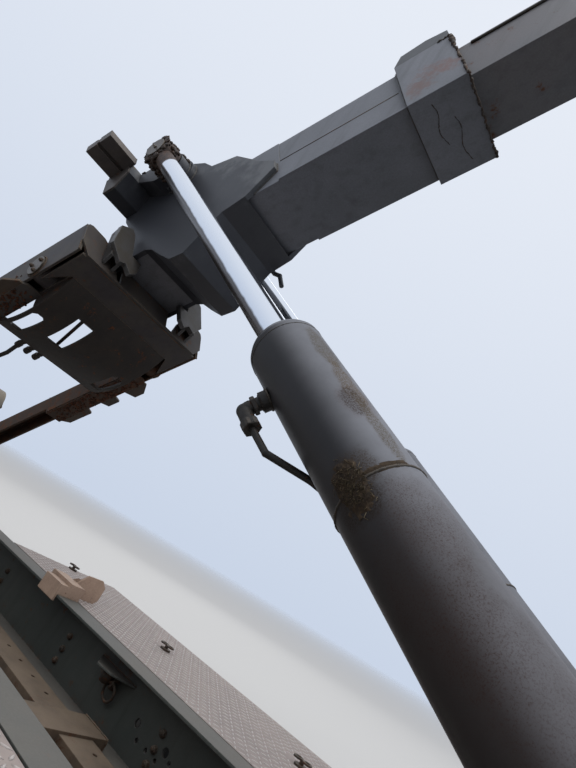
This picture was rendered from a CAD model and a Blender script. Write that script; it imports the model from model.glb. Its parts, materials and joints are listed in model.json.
# %% [markdown]
# A hook-lift hoist lifts, tips and sets down roll-off containers. It is a welded steel machine:
# a subframe with two rails, a tipping frame, a telescopic arm with a hook, and two lift cylinders.
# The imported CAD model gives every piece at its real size. This script only dresses it: it gives
# each piece the finish of the real one, and adds what is too small for the CAD, such as weld
# seams, bolts, the checker pattern of the decks, grease, mud and rust flakes.

# %% Load the fixed frame
import json
import math
import random

import bmesh
import bpy
from mathutils import Matrix, Vector
from mathutils import noise as field


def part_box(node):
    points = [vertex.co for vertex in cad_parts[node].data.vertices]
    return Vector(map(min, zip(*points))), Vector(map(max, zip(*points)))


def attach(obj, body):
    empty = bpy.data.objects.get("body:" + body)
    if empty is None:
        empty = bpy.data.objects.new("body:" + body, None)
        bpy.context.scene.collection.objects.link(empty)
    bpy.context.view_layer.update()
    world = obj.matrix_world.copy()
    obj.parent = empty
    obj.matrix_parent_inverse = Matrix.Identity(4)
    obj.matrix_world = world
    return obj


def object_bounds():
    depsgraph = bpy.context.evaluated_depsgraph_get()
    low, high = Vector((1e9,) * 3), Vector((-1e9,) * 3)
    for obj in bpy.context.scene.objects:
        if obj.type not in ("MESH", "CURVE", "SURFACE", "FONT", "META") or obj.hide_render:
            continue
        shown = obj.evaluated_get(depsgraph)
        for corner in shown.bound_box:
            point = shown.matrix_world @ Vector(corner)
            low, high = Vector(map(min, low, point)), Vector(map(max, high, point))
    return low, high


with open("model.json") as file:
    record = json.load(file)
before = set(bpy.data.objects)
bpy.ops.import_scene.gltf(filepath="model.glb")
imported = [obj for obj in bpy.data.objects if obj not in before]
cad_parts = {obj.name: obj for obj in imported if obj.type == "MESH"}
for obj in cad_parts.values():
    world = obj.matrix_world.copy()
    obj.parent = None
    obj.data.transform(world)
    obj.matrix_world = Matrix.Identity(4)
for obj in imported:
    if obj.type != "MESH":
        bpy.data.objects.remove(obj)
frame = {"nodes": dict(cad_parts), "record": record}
nodes = frame["nodes"]
cad_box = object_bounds()

# %% [markdown]
# Distances in the comments are millimetres, and Blender works in metres, so one small value
# turns one into the other. Colours are written as the hex values that a picture editor shows.
# Blender's shaders add light, so they need linear values, and one function does the change. The
# view transform is Standard, which shows a colour as it is written. Blender's own default would
# soften the contrast as film does.

# %% Units and colours
MM = 0.001


def linear(hex_colour):
    """sRGB hex such as '#4b4d50' to the linear red, green, blue and alpha that shaders use."""
    channels = [int(hex_colour[i:i + 2], 16) / 255 for i in (1, 3, 5)]
    curve = [c / 12.92 if c <= 0.04045 else ((c + 0.055) / 1.055) ** 2.4 for c in channels]
    return (*curve, 1.0)


bpy.context.scene.view_settings.view_transform = "Standard"
print("mid grey is", round(linear("#808080")[0], 3), "in linear light")

# %% [markdown]
# The camera stood low beside the machine and was held tilted, so the picture looks up and leans
# by 31 degrees. Its direction was found from the vanishing points of the arm, the rails and the
# crossbeam. Its place is measured in metres from the rod pins, where arm, cylinders and cross tube
# meet, because that point is known best.

# %% Camera
CAMERA_FROM_PIN = Vector((2.641, -1.320, -1.492))
CAMERA_AZIMUTH = math.radians(46.30)
CAMERA_PITCH = math.radians(17.50)
CAMERA_ROLL = math.radians(31.20)
CAMERA_LENS = 27.46
SENSOR_WIDTH = 36.0

eye_low, eye_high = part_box("eye_pin_left")
rod_pin = (eye_low + eye_high) / 2
rod_pin.y = 0.0

forward = Vector((
    -math.sin(CAMERA_AZIMUTH) * math.cos(CAMERA_PITCH),
    math.cos(CAMERA_AZIMUTH) * math.cos(CAMERA_PITCH),
    math.sin(CAMERA_PITCH)))
level_right = forward.cross(Vector((0, 0, 1))).normalized()
level_up = level_right.cross(forward)
camera_right = math.cos(CAMERA_ROLL) * level_right + math.sin(CAMERA_ROLL) * level_up
camera_up = -math.sin(CAMERA_ROLL) * level_right + math.cos(CAMERA_ROLL) * level_up

camera_data = bpy.data.cameras.new("camera")
camera_data.lens = CAMERA_LENS
camera_data.sensor_width = SENSOR_WIDTH
camera_data.clip_start = 0.05
camera = bpy.data.objects.new("camera", camera_data)
turn = Matrix((camera_right, camera_up, -forward)).transposed().to_4x4()
camera.matrix_world = Matrix.Translation(rod_pin + CAMERA_FROM_PIN) @ turn
bpy.context.scene.collection.objects.link(camera)
bpy.context.scene.camera = camera
print("rod pins at", [round(v, 3) for v in rod_pin], "camera height", round(camera.location.z, 3))

# %% [markdown]
# Stains in the finishes and the pieces that this script adds are placed by the sizes of the CAD.
# Three small functions turn the working directions of the machine into world points: along the arm
# and the tipping frame, along a lift cylinder, and straight on the subframe. They all take
# millimetres. Where a size is that of a CAD node it is read off the node, to a tenth of a
# millimetre, and the two angles come from the joints.

# %% Places on the machine
SIDES = {"left": 1, "right": -1}
OUTWARD = {1: Vector((0, 1, 0)), -1: Vector((0, -1, 0))}
LEFT, UP = OUTWARD[1], Vector((0, 0, 1))

joints = {joint["name"]: joint for joint in frame["record"]["behaviour"]["joints"]}
stroke = joints["left_rod_slide"]["axis"]
ARM_ANGLE = math.radians(-joints["tip"]["range_deg"][0])
CYLINDER_ANGLE = math.radians(round(math.degrees(math.atan2(stroke[2], -stroke[0])), 4))


def tenths(corners):
    """Corners in metres as rows of millimetres, rounded to a tenth."""
    return [[round(v / MM, 1) for v in corner] for corner in corners]


def on_arm(s, y, n):
    """A point from the rod pins: s along the arm, y to the left, n square to the arm."""
    c, d = math.cos(ARM_ANGLE), math.sin(ARM_ANGLE)
    return rod_pin + Vector((s * c - n * d, y, s * d + n * c)) * MM


def arm_box(name):
    """The lowest and highest s, y and n of a CAD node."""
    lean = Matrix.Rotation(ARM_ANGLE, 3, "Y")
    node = nodes[name]
    spots = [lean @ (node.matrix_world @ v.co - rod_pin) for v in node.data.vertices]
    return tenths([[pick(spot[k] for spot in spots) for k in range(3)] for pick in (min, max)])


def middle_of(corners):
    """The point midway between two corners."""
    return [(low + high) / 2 for low, high in zip(*corners)]


BASE_PIN = Vector(middle_of(tenths(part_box("base_pins")))) * MM
CYLINDER_Y = middle_of(tenths(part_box("gland_left")))[1]


def on_cylinder(side, u, radius, degrees):
    """A point at u from the base pin. 0 degrees looks outward, and 90 degrees looks up."""
    c, d = math.cos(CYLINDER_ANGLE), math.sin(CYLINDER_ANGLE)
    out, up = math.cos(math.radians(degrees)) * radius, math.sin(math.radians(degrees)) * radius
    return BASE_PIN + Vector((-u * c + up * d, side * (CYLINDER_Y + out), u * d + up * c)) * MM


def on_frame(x, y, z):
    """A point of the subframe, from the middle of the tipping axis's foot."""
    return Vector((x, y, z)) * MM


print("arm at", round(math.degrees(ARM_ANGLE), 2), "degrees, cylinders at",
      round(math.degrees(CYLINDER_ANGLE), 4), "and", CYLINDER_Y, "mm from the middle")

# %% [markdown]
# A plain pale floor catches the machine's shadow, and a plain pale sky lies behind it. Cycles asks
# the world for a colour in two ways: as a light on the object, and as a picture for the eye and
# for mirrors. Light Path tells the two apart, so the sky can look pale while the light on the
# steel stays at a plain level. The floor does the same: it is pale to the eye and to mirrors, but
# it throws little light up at the steel, as dark ground would, so that undersides stay dark.

# %% Floor and sky
SKY_TOP = "#eaeff8"
SKY_LOW = "#c6d2e5"
SKY_LIGHT = "#f4f7ff"
FLOOR = "#c4c3c0"
GROUND = "#504e4b"
FLOOR_RADIUS, FADE_START, FADE_END = 60.0, 7.0, 45.0


def add(tree, kind, settings=None, **inputs):
    """Adds a node, sets its properties, and fills or links its inputs by name or number."""
    made = tree.nodes.new(kind)
    for key, value in (settings or {}).items():
        setattr(made, key, value)
    for key, value in inputs.items():
        socket = made.inputs[int(key[1:])] if key[1:].isdigit() else made.inputs[key.replace("_", " ")]
        if isinstance(value, bpy.types.NodeSocket):
            tree.links.new(value, socket)
        elif isinstance(value, str):
            socket.default_value = linear(value)
        else:
            socket.default_value = value
    return made


def blank(name):
    """A new material and its empty node tree."""
    material = bpy.data.materials.new(name)
    material.use_nodes = True
    material.node_tree.nodes.clear()
    return material, material.node_tree


world = bpy.data.worlds.new("pale sky")
bpy.context.scene.world = world
world.use_nodes = True
sky = world.node_tree
sky.nodes.clear()
ray = add(sky, "ShaderNodeLightPath")
place = add(sky, "ShaderNodeTexCoord")
height = add(sky, "ShaderNodeSeparateXYZ", Vector=place.outputs["Generated"])
rise = add(sky, "ShaderNodeMapRange", i0=height.outputs["Z"], i1=-0.1, i2=0.9, i3=0.0, i4=1.0)
tint = add(sky, "ShaderNodeMix", {"data_type": "RGBA"}, i0=rise.outputs[0], i6=SKY_LOW, i7=SKY_TOP)
seen = add(sky, "ShaderNodeBackground", Color=tint.outputs[2], Strength=1.0)
level = add(sky, "ShaderNodeMapRange", i0=height.outputs["Z"], i1=-0.15, i2=0.85, i3=0.2, i4=1.12)
lit = add(sky, "ShaderNodeBackground", Color=SKY_LIGHT, Strength=level.outputs[0])
camera_or_gloss = add(sky, "ShaderNodeMath", {"operation": "MAXIMUM"},
                      i0=ray.outputs["Is Camera Ray"], i1=ray.outputs["Is Glossy Ray"])
looks = add(sky, "ShaderNodeMath", {"operation": "MAXIMUM"},
            i0=camera_or_gloss.outputs[0], i1=ray.outputs["Is Transmission Ray"])
both = add(sky, "ShaderNodeMixShader", i0=looks.outputs[0], i1=lit.outputs[0], i2=seen.outputs[0])
add(sky, "ShaderNodeOutputWorld", Surface=both.outputs[0])

floor_mesh = bpy.data.meshes.new("floor")
builder = bmesh.new()
bmesh.ops.create_circle(builder, cap_ends=True, radius=FLOOR_RADIUS, segments=96)
builder.to_mesh(floor_mesh)
builder.free()
floor = bpy.data.objects.new("floor", floor_mesh)
floor.location.z = cad_box[0][2] - 0.5 * MM
bpy.context.scene.collection.objects.link(floor)

# the floor fades out into the sky far behind the machine, so no edge of it shows
screed, tree = blank("pale screed")
where = add(tree, "ShaderNodeTexCoord")
distance = add(tree, "ShaderNodeVectorMath", {"operation": "LENGTH"}, i0=where.outputs["Object"])
fade = add(tree, "ShaderNodeMapRange", {"interpolation_type": "SMOOTHSTEP"},
           i0=distance.outputs["Value"], i1=FADE_START, i2=FADE_END, i3=0.0, i4=1.0)
bounce = add(tree, "ShaderNodeLightPath")
shown = add(tree, "ShaderNodeMath", {"operation": "MAXIMUM"},
            i0=bounce.outputs["Is Camera Ray"], i1=bounce.outputs["Is Glossy Ray"])
tone = add(tree, "ShaderNodeMix", {"data_type": "RGBA"}, i0=shown.outputs[0], i6=GROUND, i7=FLOOR)
matt = add(tree, "ShaderNodeBsdfDiffuse", Color=tone.outputs[2], Roughness=0.6)
clear = add(tree, "ShaderNodeBsdfTransparent")
blend = add(tree, "ShaderNodeMixShader", i0=fade.outputs[0], i1=matt.outputs[0], i2=clear.outputs[0])
add(tree, "ShaderNodeOutputMaterial", Surface=blend.outputs[0])
floor_mesh.materials.append(screed)
print("floor at z =", round(floor.location.z, 4))

# %% [markdown]
# The day was overcast: the light came from the whole sky, strongest from straight above. One very
# large soft lamp overhead gives that, and a weak second one on the far side keeps the shaded
# flanks readable. Their level is set so that a grey card facing the big lamp shows about the grey
# it was painted with.

# %% Lamps
def softbox(name, location, target, size, watts):
    """A square area lamp that looks at a point."""
    data = bpy.data.lights.new(name, "AREA")
    data.shape = "SQUARE"
    data.size = size
    data.energy = watts
    lamp = bpy.data.objects.new(name, data)
    aim = (Vector(target) - Vector(location)).normalized()
    lamp.rotation_euler = aim.to_track_quat("-Z", "Y").to_euler()
    lamp.location = location
    bpy.context.scene.collection.objects.link(lamp)


aim_at = (1.6, 0.0, 1.8)
softbox("high soft lamp", (4.5, -2.5, 9.5), aim_at, size=7.0, watts=500)
softbox("far soft lamp", (-3.0, 6.0, 5.0), aim_at, size=5.0, watts=90)
print("lamps:", len(bpy.data.lights))

# %% [markdown]
# Nearly everything on a hoist is painted or rusty steel, and it ages in the same few ways. The
# paint fades in patches, rust breaks through in speckles and along seams, edges rub bare, dust
# settles on what faces up, and dirt stays in corners. One recipe builds these layers from the
# object's own coordinates, which are metres here, so that each pattern has a real size. A layer
# is a mask from 0 to 1 that mixes in a colour, a roughness and a little relief. Fine dust and
# dried oil take away much of the gloss of the coat below, so the specular level is 0.3 where clean
# enamel has 0.5.

# %% The recipe for aged steel
RUST_DARK = "#35231a"
RUST_LIGHT = "#7b4a2b"
DUST = "#8d8272"
DIRT = "#1d1a17"
# sizes in millimetres. Real paint is mottled on a finer scale than this grain, which is as coarse
# as it needs to be to show in the picture
FINE_GRAIN, RUN_WIDTH, CHIP_SIZE = 7, 45, 28
EDGE_RADIUS, CORNER_REACH = 5, 110


def per(mm):
    """Scale of a noise whose features are about this many millimetres across."""
    return 1.0 / (mm * MM)


def aged_steel(name, paint, faded, patch, rough, rust, rust_size, wear, metal=0.0,
               dust=0.5, dust_colour=DUST, dust_from=(-0.15, 0.95),
               wear_colour="#7d7a74", grime=0.5, relief=0.25, shine=0.3):
    """A steel finish. patch and rust_size are millimetres, rust, dust, wear and grime 0 to 1."""
    material, tree = blank(name)
    here = add(tree, "ShaderNodeTexCoord").outputs["Object"]
    face = add(tree, "ShaderNodeNewGeometry")
    own_normal = add(tree, "ShaderNodeVectorTransform",
                     {"vector_type": "NORMAL", "convert_from": "WORLD", "convert_to": "OBJECT"},
                     Vector=face.outputs["Normal"])
    up = add(tree, "ShaderNodeSeparateXYZ", Vector=own_normal.outputs[0]).outputs["Z"]

    # the paint fades in broad patches, streaked by runs of rain and mottled by fine grain
    broad = add(tree, "ShaderNodeTexNoise",
                Vector=here, Scale=per(patch), Detail=6.0, Roughness=0.62)
    fine = add(tree, "ShaderNodeTexNoise",
               Vector=here, Scale=per(FINE_GRAIN), Detail=3.0, Roughness=0.7)
    stretched = add(tree, "ShaderNodeMapping", Vector=here, Scale=(1.0, 1.0, 0.12))
    runs = add(tree, "ShaderNodeTexNoise",
               Vector=stretched.outputs[0], Scale=per(RUN_WIDTH), Detail=4.0)
    fading = add(tree, "ShaderNodeMapRange", i0=broad.outputs["Fac"], i1=0.38, i2=0.66)
    coat = add(tree, "ShaderNodeMix", {"data_type": "RGBA"}, i0=fading.outputs[0], i6=paint, i7=faded)
    streaky = add(tree, "ShaderNodeMapRange",
                  i0=runs.outputs["Fac"], i1=0.5, i2=0.8, i3=1.0, i4=0.72)
    mottled = add(tree, "ShaderNodeMapRange",
                  i0=fine.outputs["Fac"], i1=0.3, i2=0.75, i3=0.86, i4=1.12)
    shade = add(tree, "ShaderNodeMath", {"operation": "MULTIPLY"},
                i0=streaky.outputs[0], i1=mottled.outputs[0])
    coat = add(tree, "ShaderNodeMix", {"data_type": "RGBA", "blend_type": "MULTIPLY"},
               i0=1.0, i6=coat.outputs[2], i7=shade.outputs[0])

    # edges rub bare in chips: a bevelled normal that leaves the true one marks an edge
    soft_edge = add(tree, "ShaderNodeBevel", {"samples": 3}, Radius=EDGE_RADIUS * MM)
    closeness = add(tree, "ShaderNodeVectorMath", {"operation": "DOT_PRODUCT"},
                    i0=soft_edge.outputs[0], i1=face.outputs["Normal"])
    edge = add(tree, "ShaderNodeMapRange", i0=closeness.outputs["Value"], i1=0.985, i2=0.86)
    chips = add(tree, "ShaderNodeTexNoise",
                Vector=here, Scale=per(CHIP_SIZE), Detail=5.0, Roughness=0.75)
    chipped = add(tree, "ShaderNodeMapRange",
                  i0=chips.outputs["Fac"], i1=0.62 - 0.3 * wear, i2=0.7)
    worn = add(tree, "ShaderNodeMath", {"operation": "MULTIPLY"},
               i0=edge.outputs[0], i1=chipped.outputs[0])
    worn = add(tree, "ShaderNodeMath", {"operation": "MULTIPLY"},
               i0=worn.outputs[0], i1=min(1.0, wear * 1.5))
    coat = add(tree, "ShaderNodeMix", {"data_type": "RGBA"},
               i0=worn.outputs[0], i6=coat.outputs[2], i7=wear_colour)

    # rust breaks through in speckles, sooner in the corners that stay damp
    shut = add(tree, "ShaderNodeAmbientOcclusion", {"samples": 4, "only_local": False},
               Distance=CORNER_REACH * MM)
    corner = add(tree, "ShaderNodeMapRange", i0=shut.outputs["AO"], i1=0.85, i2=0.25)
    spots = add(tree, "ShaderNodeTexNoise",
                Vector=here, Scale=per(rust_size), Detail=9.0, Roughness=0.72)
    push = add(tree, "ShaderNodeMath", {"operation": "MULTIPLY_ADD"},
               i0=corner.outputs[0], i1=0.10, i2=spots.outputs["Fac"])
    rusty = add(tree, "ShaderNodeMapRange", {"interpolation_type": "SMOOTHSTEP"},
                i0=push.outputs[0], i1=0.72 - 0.30 * rust, i2=0.80 - 0.22 * rust)
    rust_tone = add(tree, "ShaderNodeMix", {"data_type": "RGBA"},
                    i0=chips.outputs["Fac"], i6=RUST_DARK, i7=RUST_LIGHT)
    coat = add(tree, "ShaderNodeMix", {"data_type": "RGBA"},
               i0=rusty.outputs[0], i6=coat.outputs[2], i7=rust_tone.outputs[2])

    # dirt fills the corners, and dust settles on what faces up
    dirty = add(tree, "ShaderNodeMath", {"operation": "MULTIPLY"}, i0=corner.outputs[0], i1=grime)
    coat = add(tree, "ShaderNodeMix", {"data_type": "RGBA"},
               i0=dirty.outputs[0], i6=coat.outputs[2], i7=DIRT)
    flat = add(tree, "ShaderNodeMapRange", {"interpolation_type": "SMOOTHSTEP"},
               i0=up, i1=dust_from[0], i2=dust_from[1])
    settle = add(tree, "ShaderNodeMapRange",
                 i0=broad.outputs["Fac"], i1=0.25, i2=0.7, i3=0.45, i4=1.0)
    dusty = add(tree, "ShaderNodeMath", {"operation": "MULTIPLY"},
                i0=flat.outputs[0], i1=settle.outputs[0])
    dusty = add(tree, "ShaderNodeMath", {"operation": "MULTIPLY_ADD"},
                i0=dusty.outputs[0], i1=dust, i2=0.10 * dust)
    coat = add(tree, "ShaderNodeMix", {"data_type": "RGBA"},
               i0=dusty.outputs[0], i6=coat.outputs[2], i7=dust_colour)

    # rust and dust are matt, and rust stands a little proud of the paint
    dull = add(tree, "ShaderNodeMath", {"operation": "MAXIMUM"},
               i0=rusty.outputs[0], i1=dusty.outputs[0])
    gloss = add(tree, "ShaderNodeMapRange", i0=dull.outputs[0], i1=0.0, i2=1.0, i3=rough, i4=0.92)
    gloss = add(tree, "ShaderNodeMath", {"operation": "MULTIPLY"},
                i0=gloss.outputs[0], i1=mottled.outputs[0])
    peaks = add(tree, "ShaderNodeMath", {"operation": "MULTIPLY_ADD"},
                i0=rusty.outputs[0], i1=0.8, i2=fine.outputs["Fac"])
    bump = add(tree, "ShaderNodeBump", i0=0.6, i1=relief * MM, Height=peaks.outputs[0],
               Normal=soft_edge.outputs[0])
    steel = add(tree, "ShaderNodeBsdfPrincipled", Base_Color=coat.outputs[2],
                Roughness=gloss.outputs[0], Normal=bump.outputs[0])
    steel.inputs["Metallic"].default_value = metal
    steel.inputs["Specular IOR Level"].default_value = shine
    add(tree, "ShaderNodeOutputMaterial", Surface=steel.outputs[0])
    return material


print("one noise of 40 mm has scale", per(40))

# %% [markdown]
# Some marks belong to one place: rust below a union, dried mud, oil where a pin drips. A mask
# does that without an image: it is 1 at a point of the object, falls to 0 at a reach given in
# metres, and a noise frays its edge. The stain then goes over the finished coat, with a colour and
# a roughness of its own.

# %% Local stains
STAIN_GLOSS = 0.45


def near(tree, spot, centre, reach, fuzz):
    """A blob that is 1 at a point and 0 beyond its reach in metres, with a ragged edge."""
    moved = add(tree, "ShaderNodeVectorMath", {"operation": "SUBTRACT"}, i0=spot, i1=centre)
    squeezed = add(tree, "ShaderNodeVectorMath", {"operation": "DIVIDE"},
                   i0=moved.outputs[0], i1=reach)
    far = add(tree, "ShaderNodeVectorMath", {"operation": "LENGTH"}, i0=squeezed.outputs[0])
    ragged = add(tree, "ShaderNodeMath", {"operation": "MULTIPLY_ADD"},
                 i0=fuzz, i1=-1.3, i2=far.outputs["Value"])
    return add(tree, "ShaderNodeMapRange", {"interpolation_type": "SMOOTHSTEP"},
               i0=ragged.outputs[0], i1=0.34, i2=-0.06).outputs[0]


def inside(material):
    """The tree, the shader and the object's coordinates of a finish made by aged_steel."""
    tree = material.node_tree
    steel = next(n for n in tree.nodes if n.type == "BSDF_PRINCIPLED")
    here = next(n for n in tree.nodes if n.type == "TEX_COORD").outputs["Object"]
    return tree, steel, here


def cover(tree, steel, zone, colour, gloss):
    """Mixes a colour and a roughness over what the shader has, where zone is above 0."""
    paint = add(tree, "ShaderNodeMix", {"data_type": "RGBA"},
                i0=zone, i6=steel.inputs["Base Color"].links[0].from_socket, i7=colour)
    tree.links.new(paint.outputs[2], steel.inputs["Base Color"])
    coarse = add(tree, "ShaderNodeMix", {"data_type": "FLOAT"},
                 i0=zone, i2=steel.inputs["Roughness"].links[0].from_socket, i3=gloss)
    tree.links.new(coarse.outputs[0], steel.inputs["Roughness"])


def stain(material, centre, reach, colour, share, size):
    """Lays a stain over a finish. centre and reach are metres, size is its noise in millimetres."""
    tree, steel, here = inside(material)
    cloud = add(tree, "ShaderNodeTexNoise",
                Vector=here, Scale=per(size), Detail=8.0, Roughness=0.68)
    zone = near(tree, here, centre, reach, cloud.outputs["Fac"])
    zone = add(tree, "ShaderNodeMath", {"operation": "MULTIPLY"}, i0=zone, i1=share)
    cover(tree, steel, zone.outputs[0], colour, STAIN_GLOSS)


print("a stain has roughness", STAIN_GLOSS)

# %% [markdown]
# Each finish is now one call with its own colours. The paint is a satin two-layer enamel that was
# dark grey when new. On the rails it is nearly black-green, on the arm and barrels dark grey, and
# on the tipping frame little of it is left, so rust gives that its brown. The colours are what
# the photograph shows in soft light.

# %% Painted and rusty steels
finishes = {
    # chassis enamel on the rails: near black, the top flange rubbed pale by boots and chains
    "rail_paint": aged_steel("chassis enamel", "#3e4441", "#4d504c", patch=420, rough=0.48,
                             rust=0.36, rust_size=55, dust=0.75, dust_colour="#6c6760",
                             wear=0.75, wear_colour="#87827b", grime=0.5),
    # enamel on the tipping frame: mostly gone, brown rust film and road dirt
    "frame_paint": aged_steel("rusted frame enamel", "#37322e", "#493e35", patch=260, rough=0.62,
                              rust=0.62, rust_size=70, dust=0.4, dust_colour="#7c6c58",
                              wear=0.8, wear_colour="#8b7a62", grime=0.6),
    # satin grey enamel on the welded arm, chalky where the sun reaches it
    "arm_paint": aged_steel("arm enamel", "#4a4d53", "#5a5e64", patch=520, rough=0.46,
                            rust=0.16, rust_size=45, dust=0.5, dust_colour="#8a8880",
                            wear=0.5, wear_colour="#7d7d80", grime=0.55),
    # bare sliding steel of the jib's box: a thin even film of rust and old grease
    "jib_steel": aged_steel("filmed jib steel", "#64676d", "#6c6a6e", patch=380, rough=0.42,
                            rust=0.42, rust_size=90, dust=0.35, wear=0.6,
                            wear_colour="#7c7876", grime=0.4),
    # enamel on the small parts of the cylinders, under dried splashes of brown mud
    "barrel_paint": aged_steel("barrel enamel", "#47474a", "#55534f", patch=300, rough=0.5,
                               rust=0.22, rust_size=26, dust=0.62, dust_colour="#77695a",
                               wear=0.4, wear_colour="#7a7976", grime=0.35),
    # greased steel pins: dark oil over bare metal
    "pin_steel": aged_steel("greased pin steel", "#57514a", "#40372f", patch=60, rough=0.34,
                            metal=0.6, rust=0.4, rust_size=18, dust=0.3, wear=0.6,
                            wear_colour="#a7a29a", grime=0.7),
    # hot-rolled tread plate: worn through its paint and dusted a pinkish beige
    "deck_plate": aged_steel("tread plate", "#817773", "#8e837e", patch=240, rough=0.6,
                             metal=0.1, rust=0.22, rust_size=22, dust=0.6,
                             dust_colour="#9d918a", wear=0.8, wear_colour="#b9b4aa", grime=0.3),
    # cast hook: bare where the container's bar rubs, dark elsewhere
    "hook_steel": aged_steel("cast hook steel", "#6a6a6a", "#55504b", patch=120, rough=0.5,
                             metal=0.35, rust=0.4, rust_size=30, wear=0.9,
                             wear_colour="#a09c96", dust=0.4, grime=0.5, relief=0.5),
    # signal enamel on the latch, chalked and chipped
    "latch_paint": aged_steel("latch enamel", "#8c3b2c", "#a0503c", patch=90, rough=0.5,
                              rust=0.35, rust_size=20, wear=0.9, wear_colour="#6d675f"),
    # turned rollers: bare tread polished by the container's rails
    "roller_steel": aged_steel("roller steel", "#7b766e", "#6a6259", patch=140, rough=0.42,
                               metal=0.6, rust=0.42, rust_size=24, wear=0.8,
                               wear_colour="#aaa59c", grime=0.5),
    # small rusty fittings: clamps, pipes and brackets that never kept their paint
    "clamp_steel": aged_steel("rusty fittings", "#302c29", "#43362c", patch=60, rough=0.6,
                              rust=0.6, rust_size=16, dust=0.35, wear=0.7,
                              wear_colour="#7a7063", grime=0.5),
}
print("finishes so far:", len(finishes))

# %% [markdown]
# Two finishes aren't aged steel. A piston rod is ground steel with hard chrome: a mirror with
# faint scratches along its stroke, so its base colour is nearly white, it is fully metallic and
# its roughness is low. Its lower side, which rain never washes, keeps a brown film of old oil. The
# eye at the rod's end is forged and never chromed, so near the pin the same material turns to
# dark, rusty, greasy steel. The slide pads are cast polyamide, an oily yellow-brown plastic.

# %% Hard chrome and polyamide
chrome, tree = blank("hard chrome")
here = add(tree, "ShaderNodeTexCoord").outputs["Object"]
rod_axis = add(tree, "ShaderNodeMapping", Vector=here, Rotation=(0.0, -CYLINDER_ANGLE, 0.0))
# the real scratches are far finer than 3 mm: they are drawn as coarse as they need to be to show
along = add(tree, "ShaderNodeMapping", Vector=rod_axis.outputs[0], Scale=(0.02, 1.0, 1.0))
scratch = add(tree, "ShaderNodeTexNoise", Vector=along.outputs[0], Scale=per(3), Detail=3.0)
film = add(tree, "ShaderNodeTexNoise", Vector=here, Scale=per(70), Detail=4.0)
shine = add(tree, "ShaderNodeMapRange",
            i0=film.outputs["Fac"], i1=0.35, i2=0.75, i3=0.06, i4=0.16)
facing = add(tree, "ShaderNodeNewGeometry")
turned_normal = add(tree, "ShaderNodeVectorTransform",
                    {"vector_type": "NORMAL", "convert_from": "WORLD", "convert_to": "OBJECT"},
                    Vector=facing.outputs["Normal"])
downward = add(tree, "ShaderNodeVectorMath", {"operation": "DOT_PRODUCT"},
               i0=turned_normal.outputs[0], i1=(-0.47, 0.0, -0.88))
uneven = add(tree, "ShaderNodeMath", {"operation": "MULTIPLY_ADD"},
             i0=film.outputs["Fac"], i1=0.25, i2=downward.outputs["Value"])
oily = add(tree, "ShaderNodeMapRange", {"interpolation_type": "SMOOTHSTEP"},
           i0=uneven.outputs[0], i1=0.34, i2=0.54, i3=0.0, i4=0.92)
silver = add(tree, "ShaderNodeMix", {"data_type": "RGBA"},
             i0=oily.outputs[0], i6="#e4e9f0", i7="#3a302a")
dim = add(tree, "ShaderNodeMix", {"data_type": "FLOAT"},
          i0=oily.outputs[0], i2=shine.outputs[0], i3=0.3)
lines = add(tree, "ShaderNodeBump", i0=0.12, i1=0.02 * MM, Height=scratch.outputs["Fac"])
rod_shader = add(tree, "ShaderNodeBsdfPrincipled", Base_Color=silver.outputs[2],
                 Roughness=dim.outputs[0], Normal=lines.outputs[0])
rod_shader.inputs["Metallic"].default_value = 1.0

# the forged eye reaches this many millimetres from the pin, and then the chrome starts
EYE_REACH = 215.0
flat_here = add(tree, "ShaderNodeVectorMath", {"operation": "MULTIPLY"}, i0=here, i1=(1.0, 0.0, 1.0))
to_pin = add(tree, "ShaderNodeVectorMath", {"operation": "DISTANCE"},
             i0=flat_here.outputs[0], i1=(rod_pin.x, 0.0, rod_pin.z))
crusty = add(tree, "ShaderNodeTexNoise", Vector=here, Scale=per(16), Detail=8.0, Roughness=0.75)
edge_of_eye = add(tree, "ShaderNodeMath", {"operation": "MULTIPLY_ADD"},
                  i0=crusty.outputs["Fac"], i1=0.03, i2=to_pin.outputs["Value"])
forged = add(tree, "ShaderNodeMapRange", {"interpolation_type": "SMOOTHSTEP"},
             i0=edge_of_eye.outputs[0], i1=(EYE_REACH + 20) * MM, i2=(EYE_REACH + 4) * MM)
rusty_tone = add(tree, "ShaderNodeMapRange", i0=crusty.outputs["Fac"], i1=0.4, i2=0.62)
forging = add(tree, "ShaderNodeMix", {"data_type": "RGBA"},
              i0=rusty_tone.outputs[0], i6="#231b17", i7="#4a3428")
rough_skin = add(tree, "ShaderNodeBump", i0=0.8, i1=1.2 * MM, Height=crusty.outputs["Fac"])
eye_shader = add(tree, "ShaderNodeBsdfPrincipled", Base_Color=forging.outputs[2], Roughness=0.66,
                 Normal=rough_skin.outputs[0])
whole_rod = add(tree, "ShaderNodeMixShader", i0=forged.outputs[0], i1=rod_shader.outputs[0],
                i2=eye_shader.outputs[0])
add(tree, "ShaderNodeOutputMaterial", Surface=whole_rod.outputs[0])
finishes["rod_chrome"] = chrome

polyamide, tree = blank("cast polyamide")
here = add(tree, "ShaderNodeTexCoord").outputs["Object"]
smear = add(tree, "ShaderNodeTexNoise", Vector=here, Scale=per(35), Detail=5.0)
oiled = add(tree, "ShaderNodeMix", {"data_type": "RGBA"},
            i0=smear.outputs["Fac"], i6="#a0967a", i7="#5c5342")
grain = add(tree, "ShaderNodeBump", i0=0.3, i1=0.2 * MM, Height=smear.outputs["Fac"])
pad_shader = add(tree, "ShaderNodeBsdfPrincipled", Base_Color=oiled.outputs[2], Roughness=0.42,
                 Normal=grain.outputs[0])
pad_shader.inputs["IOR"].default_value = 1.53
add(tree, "ShaderNodeOutputMaterial", Surface=pad_shader.outputs[0])
finishes["pad_plastic"] = polyamide


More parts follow.
